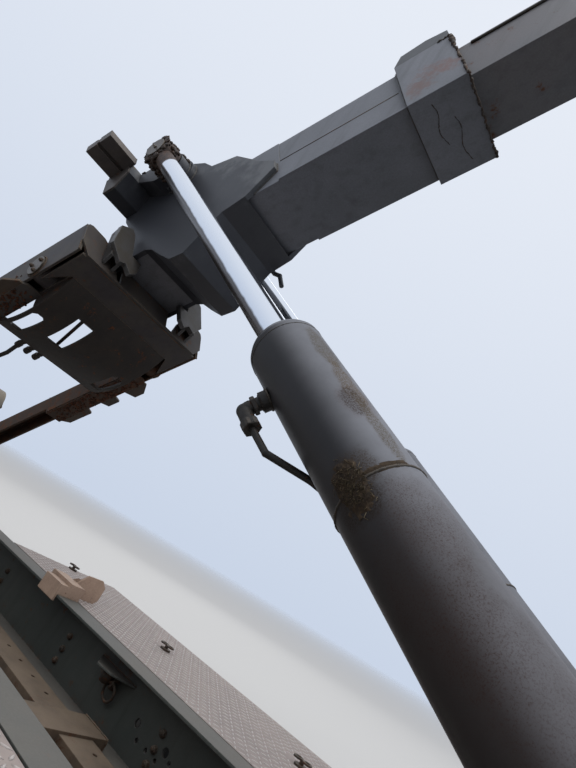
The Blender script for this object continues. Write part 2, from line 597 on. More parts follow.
def dress(owner, material):
    """Gives a CAD node a finish."""
    for material_slot in nodes[owner].material_slots:
        material_slot.material = material


for row in frame["record"]["subparts"]:
    dress(row["node"], finishes[row["material_slot"]])

# %% [markdown]
# Pieces with one paint still age apart. The near beam of the tipping frame is sooty and its edges
# are rubbed yellow, the far one is eaten red by rust, and the trough between them has never seen
# rain, only oil and road dirt. The lock claws shine grey where they slide. The crossmembers have
# taken on the brown of old dust and oil. The arm's box and collar have chalked, with some rust on
# the collar's flank, and grease from the rod pins has run down the cheeks below them.

# %% Finishes for single pieces
sooty = aged_steel("sooty frame enamel", "#38363a", "#48443f", patch=200, rough=0.55, rust=0.46,
                   rust_size=60, dust=0.3, dust_colour="#6a5e50", wear=0.95,
                   wear_colour="#8f7e5f", grime=0.6)
eaten = aged_steel("rust-eaten frame enamel", "#3e322b", "#4f3c31", patch=160, rough=0.75, rust=0.74,
                   rust_size=48, dust=0.35, dust_colour="#7b6854", wear=0.7,
                   wear_colour="#8a6f52", grime=0.6, relief=0.7)
oiled_dirt = aged_steel("oil and road dirt", "#221f1e", "#2f2a26", patch=120, rough=0.62, rust=0.5,
                        rust_size=38, dust=0.2, dust_colour="#5d5044", wear=0.7, wear_colour="#6e6152",
                        grime=0.8, relief=0.6)
rubbed_claw = aged_steel("rubbed claw steel", "#4a4b4e", "#343332", patch=70, rough=0.4, metal=0.35,
                         rust=0.34, rust_size=24, dust=0.25, wear=0.9, wear_colour="#9a9a9c", grime=0.75)
brown_film = aged_steel("dust and oil on the crossmembers", "#4e4136", "#715e4c", patch=150, rough=0.72,
                        rust=0.5, rust_size=42, dust=0.7, dust_colour="#6f6355", wear=0.7,
                        wear_colour="#85705a", grime=0.65, relief=0.6)
rubbed_block = aged_steel("rubbed block", "#aa907e", "#b59b87", patch=80, rough=0.55, rust=0.3,
                          rust_size=26, dust=0.5, dust_colour="#947f6c", wear=0.8,
                          wear_colour="#a08c7b", grime=0.4)
brown_bar = aged_steel("support bar enamel", "#504d4e", "#5a5552", patch=180, rough=0.5, rust=0.4,
                       rust_size=40, dust=0.4, dust_colour="#7b6f62", wear=0.9,
                       wear_colour="#8d8680", grime=0.6)
chalked = aged_steel("chalked arm enamel", "#6b6f77", "#7b7f88", patch=520, rough=0.48, rust=0.14,
                     rust_size=45, dust=0.45, dust_colour="#8f8e8a", wear=0.5,
                     wear_colour="#85858a", grime=0.6)
cheek_enamel = aged_steel("oily cheek enamel", "#53565b", "#606368", patch=420, rough=0.44, rust=0.2,
                          rust_size=45, dust=0.45, dust_colour="#86847d", wear=0.5,
                          wear_colour="#77777a", grime=0.7)
oily_pipe = aged_steel("oily pipe and fittings", "#171716", "#221f1c", patch=50, rough=0.55, rust=0.4,
                       rust_size=14, dust=0.12, dust_colour="#5b5046", wear=0.5, wear_colour="#5f5952",
                       grime=0.6, relief=0.6)

# grease has run down from the rod pins, and two patches of rust lie on the collar's flank
GREASE_RUN = "#33353b"
for material, spot, reach, colour, share, size in (
        (cheek_enamel, (-200, 0, -330), (0.62, 0.9, 0.62), GREASE_RUN, 0.85, 140),
        (cheek_enamel, (-20, 0, -210), (0.36, 0.9, 0.36), GREASE_RUN, 0.85, 140),
        (cheek_enamel, (-420, 0, -440), (0.42, 0.9, 0.42), GREASE_RUN, 0.85, 140),
        (cheek_enamel, (160, 0, -470), (0.42, 0.9, 0.42), GREASE_RUN, 0.85, 140),
        (chalked, (1325, -235, -360), (0.16, 0.06, 0.09), "#7a544a", 0.62, 40),
        (chalked, (1225, -235, -400), (0.10, 0.06, 0.12), "#74564e", 0.62, 35)):
    stain(material, tuple(on_arm(*spot)), reach, colour, share, size)

own_finishes = (
    (chalked, ("outer_box", "collar")), (cheek_enamel, ("arm_cheeks", "cross_box")),
    (oily_pipe, ("pipe_left", "pipe_right")), (sooty, ("frame_beam_right", "frame_crossbeam")),
    (eaten, ("frame_beam_left",)), (oiled_dirt, ("frame_plates",)), (rubbed_claw, ("lock_claws",)),
    (brown_film, ("crossmember_base", "crossmember_mid")), (rubbed_block, ("axis_blocks",)),
    (brown_bar, ("rail_supports",)))
for material, owners in own_finishes:
    for owner in owners:
        dress(owner, material)
print("own finishes:", [material.name for material, _ in own_finishes])

# %% [markdown]
# From here on the script adds pieces. Each is a mesh made in code, and rides on a body so that it
# follows the joints. A welded machine is held together by beads. A bead is a row of half-frozen
# ripples, about 6 mm wide, in the corner where two plates meet. It could be bump in a material, but
# it catches light along its length and shows at the silhouette, so here it is real: a thin tube is
# swept along the corner, half sunk in the steel, and its radius swells and shrinks every 5 mm. The
# same sweep makes the straws of dry grass, the wire rings and the slag of a torch cut.

# %% Sweeping a tube, and beads
# a real bead ripples every 2 mm or so, and this is as coarse as it needs to be to show
RIPPLE = 5.0
dice = random.Random(7)


def turns(count):
    """The angles of a full circle in even steps, in radians."""
    return [2 * math.pi * k / count for k in range(count)]


def spaced(points, step):
    """The points of a polyline again, at even steps of this many metres."""
    out = [points[0].copy()]
    left = step
    for a, b in zip(points, points[1:]):
        length = (b - a).length
        if length < 1e-7:
            continue
        walked = left
        while walked <= length:
            out.append(a.lerp(b, walked / length))
            walked += step
        left = walked - length
    if (out[-1] - points[-1]).length > step * 0.3:
        out.append(points[-1].copy())
    return out


def ring_of(builder, centre, normal, across, radius, sides):
    """A ring of vertices round a centre, in the plane of two directions. radius is in metres."""
    return [builder.verts.new(centre + radius * (math.cos(a) * normal + math.sin(a) * across))
            for a in turns(sides)]


def skin(builder, rings, closed=False):
    """Joins rings with faces. The ends get caps, unless the last ring meets the first."""
    count = len(rings[0])
    pairs = list(zip(rings, rings[1:]))
    if closed:
        pairs.append((rings[-1], rings[0]))
    for one, two in pairs:
        for j in range(count):
            k = (j + 1) % count
            builder.faces.new((one[j], one[k], two[k], two[j]))
    if not closed:
        builder.faces.new(rings[0][::-1])
        builder.faces.new(rings[-1])


def sweep(builder, path, radii, sides=6, closed=False):
    """Adds a tube along a path, with one radius in metres for each of its points."""
    rings = []
    normal = None
    last = len(path) - 1
    for k, (point, radius) in enumerate(zip(path, radii)):
        before = path[k - 1] if k > 0 else (path[last] if closed else path[0])
        after = path[k + 1] if k < last else (path[0] if closed else path[last])
        along = (after - before).normalized()
        if normal is None:
            normal = along.orthogonal().normalized()
        normal = (normal - normal.dot(along) * along).normalized()
        rings.append(ring_of(builder, point, normal, along.cross(normal), radius, sides))
    skin(builder, rings, closed)


def bead(builder, points, width, closed=False):
    """A weld bead along points in metres. Its width is in millimetres."""
    path = spaced(points, RIPPLE / 2 * MM)
    wobble = [Vector([dice.uniform(-0.35, 0.35) * MM for _ in range(3)]) for _ in path]
    path = [p + w for p, w in zip(path, wobble)]
    radii = [width * 0.5 * MM * (1.0 if k % 2 else 0.8) * dice.uniform(0.88, 1.12)
             for k in range(len(path))]
    sweep(builder, path, radii, closed=closed)


def weld(builder, place, side, points, width):
    """A bead through points of on_arm or on_frame. side is 1 on the left and -1 on the right."""
    bead(builder, [place(a, side * y, b) for a, y, b in points], width)


def circle_on_arm(s, n, y, radius):
    """Points of a circle round a cross bar of the arm or tipping frame."""
    return [on_arm(s + radius * math.cos(a), y, n + radius * math.sin(a)) for a in turns(60)]


def piece(name, builder, material, body, smooth=True):
    """Makes the mesh an object of the scene that rides on a body."""
    bmesh.ops.recalc_face_normals(builder, faces=builder.faces)
    mesh = bpy.data.meshes.new(name)
    builder.to_mesh(mesh)
    builder.free()
    if smooth:
        mesh.polygons.foreach_set("use_smooth", [True] * len(mesh.polygons))
    made = bpy.data.objects.new(name, mesh)
    mesh.materials.append(material)
    bpy.context.scene.collection.objects.link(made)
    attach(made, body)
    print(name, "has", sum(len(p.vertices) - 2 for p in mesh.polygons), "triangles")


print("a 100 mm bead gets",
      len(spaced([Vector((0, 0, 0)), Vector((0.1, 0, 0))], RIPPLE / 2 * MM)), "rings")

# %% [markdown]
# The weld metal itself is painted over on this machine and then rusts before the plates do, since
# paint is thin on its ripples. So it gets the plates' own recipe with more rust and wear.

# %% Weld metal
arm_weld = aged_steel("painted weld on the arm", "#3f4245", "#4c4a48", patch=90, rough=0.5, rust=0.4,
                      rust_size=30, dust=0.4, wear=0.6, wear_colour="#6f6b66", grime=0.5)
frame_weld = aged_steel("rusty weld on the frame", "#3b342e", "#55402f", patch=70, rough=0.66,
                        rust=0.75, rust_size=30, dust=0.4, wear=0.6, wear_colour="#80694f", grime=0.6)
print("weld finishes:", arm_weld.name, "and", frame_weld.name)

# %% [markdown]
# The arm's beads run round its cheeks where they lie on the box, round the collar, round the cross
# tube's stiffening rings, and along the cross box and the bars that carry the container.

# %% Beads on the arm
BOX_HALF, CHEEK_OUT = 173.5, 198.5
# the radii of the two rings that stiffen the cross tube, with half of the bead
CHEEK_RING, TUBE_RING = 99, 81
(BOX_REAR, _, BOX_LOW), (_, _, BOX_TOP) = arm_box("outer_box")
(COLLAR_REAR, _, COLLAR_LOW), (COLLAR_FRONT, COLLAR_HALF, COLLAR_TOP) = arm_box("collar")
(_, _, JIB_LOW), (JIB_END, JIB_HALF, JIB_TOP) = arm_box("inner_box")
CROSS_HALF = arm_box("cross_box")[1][1]

beads = bmesh.new()
for side in (-1, 1):
    y = BOX_HALF + 1
    weld(beads, on_arm, side, [(398, y, BOX_TOP + 1), (480, y, -270), (562, y, -343),
                               (562, y, -401), (442, y, BOX_LOW - 1)], 8)
    weld(beads, on_arm, side, [(s, BOX_HALF - 1, BOX_TOP + 1) for s in (-318, 396)], 8)
    weld(beads, on_arm, side, [(BOX_REAR, y, n) for n in (-378, BOX_LOW + 1)], 7)
    for ring_y, radius in ((CHEEK_OUT + 1, CHEEK_RING), (CHEEK_OUT + 30, TUBE_RING)):
        bead(beads, circle_on_arm(0, 0, side * ring_y, radius), width=8, closed=True)
    wing = [(-204, 12), (-204, 79), (-60, 84), (-4, 80)]
    weld(beads, on_arm, side, [(s, CHEEK_OUT + 1, n) for s, n in wing], 6)
    lip = (BOX_LOW + 1, BOX_TOP - 1)
    weld(beads, on_arm, side, [(COLLAR_REAR - 1, BOX_HALF + 2, n) for n in lip], 9)
    tail = [(-360, -69), (-286, -69), (-206, 11), (-206, 94), (-359, 94)]
    weld(beads, on_arm, side, [(s, CROSS_HALF - 1.5, n) for s, n in tail], 6)
    for s in (-335, -242):
        foot = [(s, 51), (s + 73, 51), (s + 73, 99), (s, 99), (s, 51)]
        weld(beads, on_arm, side, [(a, CROSS_HALF + 1, n) for a, n in foot], 6)
for n in (BOX_LOW - 1, BOX_TOP + 1):
    bead(beads, [on_arm(COLLAR_REAR - 1, y, n) for y in (-BOX_HALF, BOX_HALF)], width=9)
piece("arm_beads", beads, arm_weld, "main_arm")

beads = bmesh.new()
mouth = [(-JIB_HALF, JIB_LOW - 1), (JIB_HALF, JIB_LOW - 1), (JIB_HALF, JIB_TOP),
         (-JIB_HALF, JIB_TOP), (-JIB_HALF, JIB_LOW - 1)]
bead(beads, [on_arm(JIB_END - 1, y, n) for y, n in mouth], width=9)
for side in (-1, 1):
    weld(beads, on_arm, side, [(JIB_END + 1, 40, n) for n in (1355, 1710)], 8)
piece("jib_beads", beads, arm_weld, "jib")

# %% [markdown]
# On the tipping frame the beads join the end plate to the beams, the flange plates to the beams'
# lower edges, the tabs beside them, the bosses of both pivots, and the trough. On the subframe
# they hold the crossmembers between the rails.

# %% Beads on the tipping frame and subframe
FLANGE = 12.0
(_, BEAM_IN, FRAME_LOW), (BEAM_FRONT, BEAM_OUT, BEAM_TOP) = arm_box("frame_beam_left")
BEAM_LOW = FRAME_LOW + FLANGE
(_, _, BEAM_REAR_TOP), (_, BRACKET_OUT, _) = arm_box("roller_brackets")
PIVOT_OUT = arm_box("arm_shaft")[1][1]
PIVOT_S, _, PIVOT_N = middle_of(arm_box("arm_shaft"))
AXIS_S, _, AXIS_N = middle_of(arm_box("axis_tube"))

beads = bmesh.new()
for side in (-1, 1):
    channel = [(BEAM_OUT + 1, BEAM_LOW), (BEAM_OUT + 1, BEAM_TOP - 36),
               (BEAM_OUT - 22, BEAM_TOP + 1), (BEAM_IN, BEAM_TOP + 1)]
    weld(beads, on_arm, side, [(BEAM_FRONT - 1, y, n) for y, n in channel], 8)
    for y in (BEAM_OUT + 1, BEAM_IN - 1):
        weld(beads, on_arm, side, [(s, y, BEAM_LOW - 1) for s in (-690, -1338)], 7)
    step = [(BEAM_IN, BEAM_REAR_TOP + 1), (BEAM_OUT + 1, BEAM_REAR_TOP + 1), (BEAM_OUT + 1, BEAM_LOW)]
    for s in (-1091, -1351):
        weld(beads, on_arm, side, [(s, y, n) for y, n in step], 7)
    for s, n, y, radius in ((PIVOT_S, PIVOT_N, BEAM_OUT + 0.5, 59), (AXIS_S, AXIS_N, BEAM_IN - 1, 79)):
        bead(beads, circle_on_arm(s, n, side * y, radius), width=7, closed=True)
    for tab in ((-677, -819), (-891, -999), (-1101, -1319)):
        weld(beads, on_arm, side, [(s, BEAM_OUT + 1, BEAM_LOW + 1) for s in tab], 8)
    for y in (BEAM_IN + 7, BEAM_IN + 25, BEAM_OUT - 25, BEAM_OUT - 7):
        weld(beads, on_arm, side, [(s, y, BEAM_REAR_TOP + 1) for s in (-2425, -2002)], 6)
    for y in (BOX_HALF + 60, CHEEK_OUT + 92):
        for n in (-598, -545):
            weld(beads, on_arm, side, [(-299, y, n), (-299, y, n + 40)], 6)
for s, n in ((-2061, -589), (-1919, -589), (-316, BEAM_LOW - 13)):
    bead(beads, [on_arm(s, y, n) for y in (-BEAM_IN, BEAM_IN)], width=6)
piece("frame_beads", beads, frame_weld, "tipping_frame")

(_, RAIL_IN, _), (RAIL_FRONT, RAIL_OUT, RAIL_TOP) = tenths(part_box("rail_left"))
RAIL_WEB = RAIL_OUT - 10
BASE_X = BASE_PIN.x / MM
# the rear face, front face and top of each crossmember
CROSSMEMBERS = ((-100, 100, 240), (1010, 1150, 110), (2440, 2600, 60), (4466, 4726, 280),
                (4840, 4980, 280))
beads = bmesh.new()
for x0, x1, top in CROSSMEMBERS:
    # the last one is flush with the rails' ends: nothing to weld behind it
    faces = (x0 - 1,) if x1 == RAIL_FRONT else (x0 - 1, x1 + 1)
    for side in (-1, 1):
        for x in faces:
            weld(beads, on_frame, side, [(x, RAIL_IN, z) for z in (11, min(top, RAIL_TOP - 12))], 7)
        if top < 240:
            weld(beads, on_frame, side, [(x, RAIL_IN + 1, top + 1) for x in (x0, x1)], 7)
for side in (-1, 1):
    for x0, x1, y in ((1701, 1889, 401), (-149, 149, 426), (-149, 149, 478)):
        weld(beads, on_frame, side, [(x, y, RAIL_TOP + 1) for x in (x0, x1)], 6)
    for y in (271, 292, 395, 416):
        weld(beads, on_frame, side, [(BASE_X + x, y, RAIL_TOP + 1) for x in (-124, 124)], 6)
    weld(beads, on_frame, side, [(x, RAIL_WEB - 1, 209) for x in (2232, 2484)], 6)
piece("subframe_beads", beads, frame_weld, "subframe")

# %% [markdown]
# Bolts hold what has to come apart: the rails on what carries them, the brackets of the decks, and
# the keeper plates of the pins. A hexagon head alone reads as a peg, so each bolt gets a washer, a head
# with its corners turned off, and the end of the thread. Sizes are M20, M16 and M12: 30, 24 and
# 18 mm across flats, with heads 13, 10 and 8 mm high.

# %% Bolts
M20, M16, M12 = 30.0, 24.0, 18.0


def turned(builder, place, axis, profile, sides=24):
    """Adds a solid of revolution: profile is (distance along the axis, radius) in millimetres."""
    axis = axis.normalized()
    normal = axis.orthogonal().normalized()
    across = axis.cross(normal)
    skin(builder, [ring_of(builder, place + axis * h * MM, normal, across, r * MM, sides)
                   for h, r in profile])


def bolt(builder, place, axis, flats):
    """A washer, a hexagon head and the thread's end. axis points away from the plate."""
    k = flats / M20
    turned(builder, place, axis,
           [(-1, 18.5 * k), (2.5 * k, 18.5 * k), (3 * k, 18 * k)], sides=20)
    turned(builder, place, axis,
           [(2.5 * k, 17.3 * k), (12.5 * k, 17.3 * k), (15.5 * k, 14.6 * k)], sides=6)
    turned(builder, place, axis,
           [(15 * k, 9 * k), (19 * k, 9 * k), (20.5 * k, 7.5 * k)], sides=12)


bolts = bmesh.new()
for side, outward in sorted(OUTWARD.items()):
    for x in (450, 750, 4350, 4650):
        for z in (70, 210):
            bolt(bolts, on_frame(x, side * RAIL_OUT, z), outward, M20)
            bolt(bolts, on_frame(x, side * RAIL_WEB, z), -outward, M20)
    for x in (1270, 1990, 2710, 3430):
        for z in (60, 110, 165):
            bolt(bolts, on_frame(x, side * RAIL_WEB, z), -outward, M16)
    for x in (1018, 1142):
        bolt(bolts, on_frame(x, side * 300, 110), UP, M16)
piece("subframe_bolts", bolts, finishes["clamp_steel"], "subframe", smooth=False)

ARM_S = (on_arm(1, 0, 0) - on_arm(0, 0, 0)).normalized()
ARM_N = (on_arm(0, 0, 1) - on_arm(0, 0, 0)).normalized()
bolts = bmesh.new()
for side, outward in sorted(OUTWARD.items()):
    for a in (30, 150, 270):
        c, d = math.cos(math.radians(a)), math.sin(math.radians(a))
        bolt(bolts, on_arm(PIVOT_S + 36 * c, side * PIVOT_OUT, PIVOT_N + 36 * d), outward, M12)
    for s in (-2405, -2255):
        bolt(bolts, on_arm(s, side * (BEAM_IN + BEAM_OUT) / 2, BEAM_REAR_TOP), ARM_N, M16)
    bolt(bolts, on_arm(-2330, side * BRACKET_OUT, 5), outward, M20)
piece("frame_bolts", bolts, finishes["clamp_steel"], "tipping_frame", smooth=False)

# %% [markdown]
# The decks are tread plate: hot-rolled steel with raised tears in two directions, about 38 mm
# long, 12 mm wide and 2.5 mm high, on a 34 mm grid. A bump map would show them only from above, and
# in the photograph the deck is seen almost edge on, where their height counts. So each tear is a
# small lens with a sharp rim, made of seven faces. Boots have polished their crowns, so the tread's
# finish is brighter than the plate between.

# %% Tread of the decks
TEAR_LONG, TEAR_WIDE, TEAR_HIGH, TEAR_PITCH, DECK_MARGIN = 19.0, 6.0, 2.5, 34.0, 16.0
# no tears round the wing clamps, within these distances along and across the deck
CLAMP_XS, CLAMP_Y, CLAMP_LONG, CLAMP_WIDE = (1150, 2116, 3000), 890, 62, 34


def tear(builder, x, y, z, turn):
    """One raised tear, pointed at both ends."""
    c, d = math.cos(turn), math.sin(turn)
    outline = [(-TEAR_LONG, 0), (-5, -TEAR_WIDE * 0.8), (5, -TEAR_WIDE), (TEAR_LONG, 0),
               (5, TEAR_WIDE), (-5, TEAR_WIDE * 0.8)]
    foot = [builder.verts.new(on_frame(x + a * c - b * d, y + a * d + b * c, z - 0.4))
            for a, b in outline]
    rear, front = [builder.verts.new(on_frame(x + a * c, y + a * d, z + TEAR_HIGH)) for a in (-9, 9)]
    ridge = ((rear,), (front, rear), (front,), (front,), (rear, front), (rear,))
    for k, tops in enumerate(ridge):
        builder.faces.new((foot[k], foot[(k + 1) % 6], *tops))
    builder.faces.new(foot[::-1])


tread = aged_steel("polished crowns of the tread", "#b9b1ac", "#c8c1bc", patch=200, rough=0.5, metal=0.1,
                   rust=0.10, rust_size=20, dust=0.3, dust_colour="#bab0a9", wear=0.3, grime=0.1)
deck_low, deck_high = tenths(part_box("deck_left"))
for name, side in SIDES.items():
    tears = bmesh.new()
    x, column = deck_low[0] + DECK_MARGIN, 0
    while x < deck_high[0] - 10:
        y, row = deck_low[1] + DECK_MARGIN, 0
        while y < deck_high[1] - 12:
            if all(abs(x - cx) > CLAMP_LONG or abs(y - CLAMP_Y) > CLAMP_WIDE for cx in CLAMP_XS):
                tear(tears, x, side * y, deck_high[2], math.radians(45 if (column + row) % 2 else -45))
            y += TEAR_PITCH
            row += 1
        x += TEAR_PITCH
        column += 1
    piece("deck_tread_" + name, tears, tread, "subframe", smooth=False)

# %% [markdown]
# The barrels show what a lift cylinder picks up in years of work. Each was welded from two tubes,
# and the round seam at 1185 mm stands a little proud. Above it the paint is still dark grey. Below
# it a brown film of road dirt lies over the paint. Rust speckles break through on the shoulder, and
# crumbs of old mud and oil lie in a long line towards the gland. A recipe made only for the barrels
# adds these to the aged enamel, at their real places, from the object's coordinates.

# %% Barrel enamel with film, speckles and stains
BARREL_RADIUS, SEAM = 100.0, 1185


def barrel_enamel(name, side):
    """The barrel's finish. Stains are placed by their distance along the barrel and their angle."""
    material = aged_steel(name, "#1a1a1c", "#242325", patch=300, rough=0.4, rust=0.12, rust_size=26,
                          dust=0.82, dust_colour="#84868c", dust_from=(-0.12, 0.6), wear=0.4,
                          wear_colour="#66645f", grime=0.35, shine=0.14)
    tree, steel, here = inside(material)

    # the barrel's own axes: X back along it from the base pin, Y to the left, Z square to both
    own = add(tree, "ShaderNodeMapping", {"vector_type": "TEXTURE"}, Vector=here,
              Location=tuple(on_cylinder(side, 0, -CYLINDER_Y, 0)),
              Rotation=(0.0, CYLINDER_ANGLE, 0.0)).outputs[0]
    along = add(tree, "ShaderNodeSeparateXYZ", Vector=own).outputs["X"]
    cloud = add(tree, "ShaderNodeTexNoise", Vector=here, Scale=per(90), Detail=8.0, Roughness=0.68)
    wavy = add(tree, "ShaderNodeMath", {"operation": "MULTIPLY_ADD"},
               i0=cloud.outputs["Fac"], i1=0.4, i2=along)
    film = add(tree, "ShaderNodeMapRange", {"interpolation_type": "SMOOTHSTEP"},
               i0=wavy.outputs[0], i1=-1.12, i2=-0.62, i3=0.0, i4=0.26)
    filmed = add(tree, "ShaderNodeMix", {"data_type": "RGBA"}, i0=film.outputs[0],
                 i6=steel.inputs["Base Color"].links[0].from_socket, i7="#3d2e24")
    tree.links.new(filmed.outputs[2], steel.inputs["Base Color"])

    # road grit is finer than 3.4 mm: it is drawn as coarse as it needs to be to show
    grit = add(tree, "ShaderNodeTexNoise", Vector=here, Scale=per(3.4), Detail=8.0, Roughness=0.8)
    speckle = add(tree, "ShaderNodeMapRange",
                  i0=grit.outputs["Fac"], i1=0.5, i2=0.66, i3=0.1, i4=0.62)
    crumbs = add(tree, "ShaderNodeMapRange",
                 i0=grit.outputs["Fac"], i1=0.44, i2=0.58, i3=0.12, i4=0.9)
    for grain, u, degrees, reach, colour in (
            (speckle, 960, 12, (0.24, 0.09, 0.11), "#33211a"),
            (speckle, 1060, 46, (0.14, 0.08, 0.08), "#3b2820"),
            (speckle, 760, 30, (0.26, 0.10, 0.11), "#34221a"),
            (speckle, 1390, 55, (0.08, 0.05, 0.05), "#4a2b1d"),
            (crumbs, 1600, 62, (0.12, 0.03, 0.035), "#50483b"),
            (crumbs, 1455, 60, (0.12, 0.032, 0.032), "#53442f"),
            (crumbs, 1385, 50, (0.06, 0.03, 0.03), "#2f241b"),
            (crumbs, 1290, 58, (0.13, 0.022, 0.025), "#4f4638"),
            (crumbs, 1205, -2, (0.07, 0.06, 0.07), "#3a2f25"),
            (crumbs, 1150, -14, (0.06, 0.05, 0.06), "#2b241e")):
        a = math.radians(degrees)
        centre = (-u * MM, side * (CYLINDER_Y + BARREL_RADIUS * math.cos(a)) * MM,
                  BARREL_RADIUS * math.sin(a) * MM)
        zone = near(tree, own, centre, reach, cloud.outputs["Fac"])
        both = add(tree, "ShaderNodeMath", {"operation": "MULTIPLY"}, i0=zone, i1=grain.outputs[0])
        cover(tree, steel, both.outputs[0], colour, 0.85)
    return material


for name, side in SIDES.items():
    finish = barrel_enamel("barrel enamel under road film, " + name, side)
    for owner in ("barrel_", "gland_"):
        dress(owner + name, finish)
    print(finish.name, "has", len(finish.node_tree.nodes), "shader nodes")

# %% [markdown]
# Round the seam the barrels carry beads, and at the gland a rubber wiper keeps grit off the rod. The
# wiper is a ring of nitrile rubber with a lip, turned from its profile like a vase. It sits in
# front of the gland's face and clears the chrome by half a millimetre.

# %% Seams and wipers of the cylinders
rubber, tree = blank("nitrile rubber")
here = add(tree, "ShaderNodeTexCoord").outputs["Object"]
film = add(tree, "ShaderNodeTexNoise", Vector=here, Scale=per(12), Detail=4.0)
greyed = add(tree, "ShaderNodeMix", {"data_type": "RGBA"},
             i0=film.outputs["Fac"], i6="#17181a", i7="#3a3630")
fine = add(tree, "ShaderNodeBump", i0=0.3, i1=0.1 * MM, Height=film.outputs["Fac"])
wiper_shader = add(tree, "ShaderNodeBsdfPrincipled", Base_Color=greyed.outputs[2], Roughness=0.62,
                   Normal=fine.outputs[0])
wiper_shader.inputs["IOR"].default_value = 1.52
add(tree, "ShaderNodeOutputMaterial", Surface=wiper_shader.outputs[0])

barrel_weld = aged_steel("painted seam of the barrel", "#3a3834", "#4a443c", patch=60, rough=0.55,
                         rust=0.3, rust_size=18, dust=0.4, dust_colour="#6b5f52", wear=0.5)
PORT_U, PORT_ANGLE = 1590, -70.0
# just in front of the face, so that the two never lie in one plane
GLAND_FACE = 1760.3
axis_of = {side: (on_cylinder(side, 1, 0, 0) - on_cylinder(side, 0, 0, 0)).normalized()
           for side in (-1, 1)}
for name, side in SIDES.items():
    beads = bmesh.new()
    for u, r, width in ((SEAM, 99.6, 7), (101, 99, 9), (1721, 99.6, 3)):
        bead(beads, [on_cylinder(side, u, r, 6 * k) for k in range(60)], width=width, closed=True)
    foot = on_cylinder(side, PORT_U, BARREL_RADIUS + 1, PORT_ANGLE)
    across = (on_cylinder(side, 0, 1, PORT_ANGLE + 90) - on_cylinder(side, 0, 0, 0)).normalized()
    bead(beads, [foot + 28 * MM * (math.cos(a) * axis_of[side] + math.sin(a) * across)
                 for a in turns(40)], width=6, closed=True)
    piece("barrel_seams_" + name, beads, barrel_weld, name + "_barrel")

    lips = bmesh.new()
    profile = [(GLAND_FACE, 47.2), (1771, 47.0), (1773, 48.5), (1769, 52), (1765, 58), (GLAND_FACE, 60)]
    skin(lips, [[lips.verts.new(on_cylinder(side, u, r, 360 * k / 64)) for k in range(64)]
                for u, r in profile], closed=True)
    piece("wiper_" + name, lips, rubber, name + "_barrel")

# %% [markdown]
# Where the pipe meets the seam, mud with dry grass has caked on the near barrel's lower flank, and
# a thin trail of it follows the seam. The far barrel has a patch too. A patch of grid over the
# barrel is lifted by noise inside a ragged outline, and everything outside the outline sinks below
# the steel, so the crust has a real, broken edge. Then come the straws: thin bent stems, half
# buried.

# %% Mud crust with dry grass
mud = aged_steel("dried mud", "#2c231b", "#4a3d2f", patch=14, rough=0.92, rust=0.0, rust_size=10,
                 dust=0.2, dust_colour="#5d5040", wear=0.1, wear_colour="#5a4c3b", grime=0.7, relief=1.2)
straw = aged_steel("dry grass", "#62563f", "#85765a", patch=12, rough=0.8, rust=0.0, rust_size=8,
                   dust=0.2, wear=0.0, grime=0.3)


def crust(builder, side, u_range, angles, thick, seed):
    """A ragged patch of mud on a barrel, thick in its middle."""
    steps, columns = 130, 90
    (u0, u1), (a0, a1) = u_range, angles
    rows = []
    for i in range(steps + 1):
        row = []
        for j in range(columns + 1):
            p, q = i / steps, j / columns
            spot = Vector((p * 7 + seed, q * 5, 0.0))
            from_rim = 1.0 - math.hypot(2 * p - 1, 2 * q - 1)
            outline = from_rim + 0.38 * field.fractal(spot * 0.8, 1.0, 2.0, 4)
            lumps = 0.5 + 0.5 * field.fractal(spot * 7.0, 0.8, 2.1, 6)
            high = max(-1.0, min(1.0, outline * 3.2)) * thick * (0.25 + 0.9 * lumps)
            row.append(builder.verts.new(on_cylinder(
                side, u0 + (u1 - u0) * p, BARREL_RADIUS + max(high, -0.8), a0 + (a1 - a0) * q)))
        rows.append(row)

    # only quads with a corner outside the steel are kept
    foot, steel_radius = on_cylinder(side, 0, 0, 0), (BARREL_RADIUS - 0.2) * MM
    for one, two in zip(rows, rows[1:]):
        for j in range(columns):
            quad = (one[j], one[j + 1], two[j + 1], two[j])
            if any((v.co - foot).cross(axis_of[side]).length > steel_radius for v in quad):
                builder.faces.new(quad)
    loose = [v for v in builder.verts if not v.link_faces]
    bmesh.ops.delete(builder, geom=loose, context="VERTS")


patches = bmesh.new()
crust(patches, -1, (1120, 1250), (-32, 8), thick=4.0, seed=3.0)
crust(patches, -1, (1180, 1200), (4, 62), thick=1.0, seed=11.0)
piece("mud_right", patches, mud, "right_barrel")
patches = bmesh.new()
crust(patches, 1, (1100, 1260), (-20, 30), thick=4.0, seed=23.0)
piece("mud_left", patches, mud, "left_barrel")

stems = bmesh.new()
for _ in range(170):
    u, a = dice.gauss(1184, 26), dice.gauss(-11, 8)
    bends = [(dice.uniform(-11, 11), dice.uniform(-6, 6)) for _ in range(2)]
    stem = [on_cylinder(-1, u, BARREL_RADIUS + 1.5, a)]
    for (more_u, more_a), lift in zip(bends, (4.5, 1.5)):
        u, a = u + more_u, a + more_a
        stem.append(on_cylinder(-1, u, BARREL_RADIUS + lift, a))
    sweep(stems, stem, [dice.uniform(0.3, 0.7) * MM] * 3, sides=5)
piece("straws_right", stems, straw, "right_barrel")

# %% [markdown]
# The rod pins are greased from outside, and the grease that the joint presses out mixes with dust
# to a dark, lumpy paste. It hangs on the cross tube's ends and round the rods' eyes, and hides
# their edges. Each lump is a small ball of mesh pushed in and out by noise, half sunk in the steel.
# Fresh grease from the last service is yellow-brown and shines, and the old paste is nearly black.

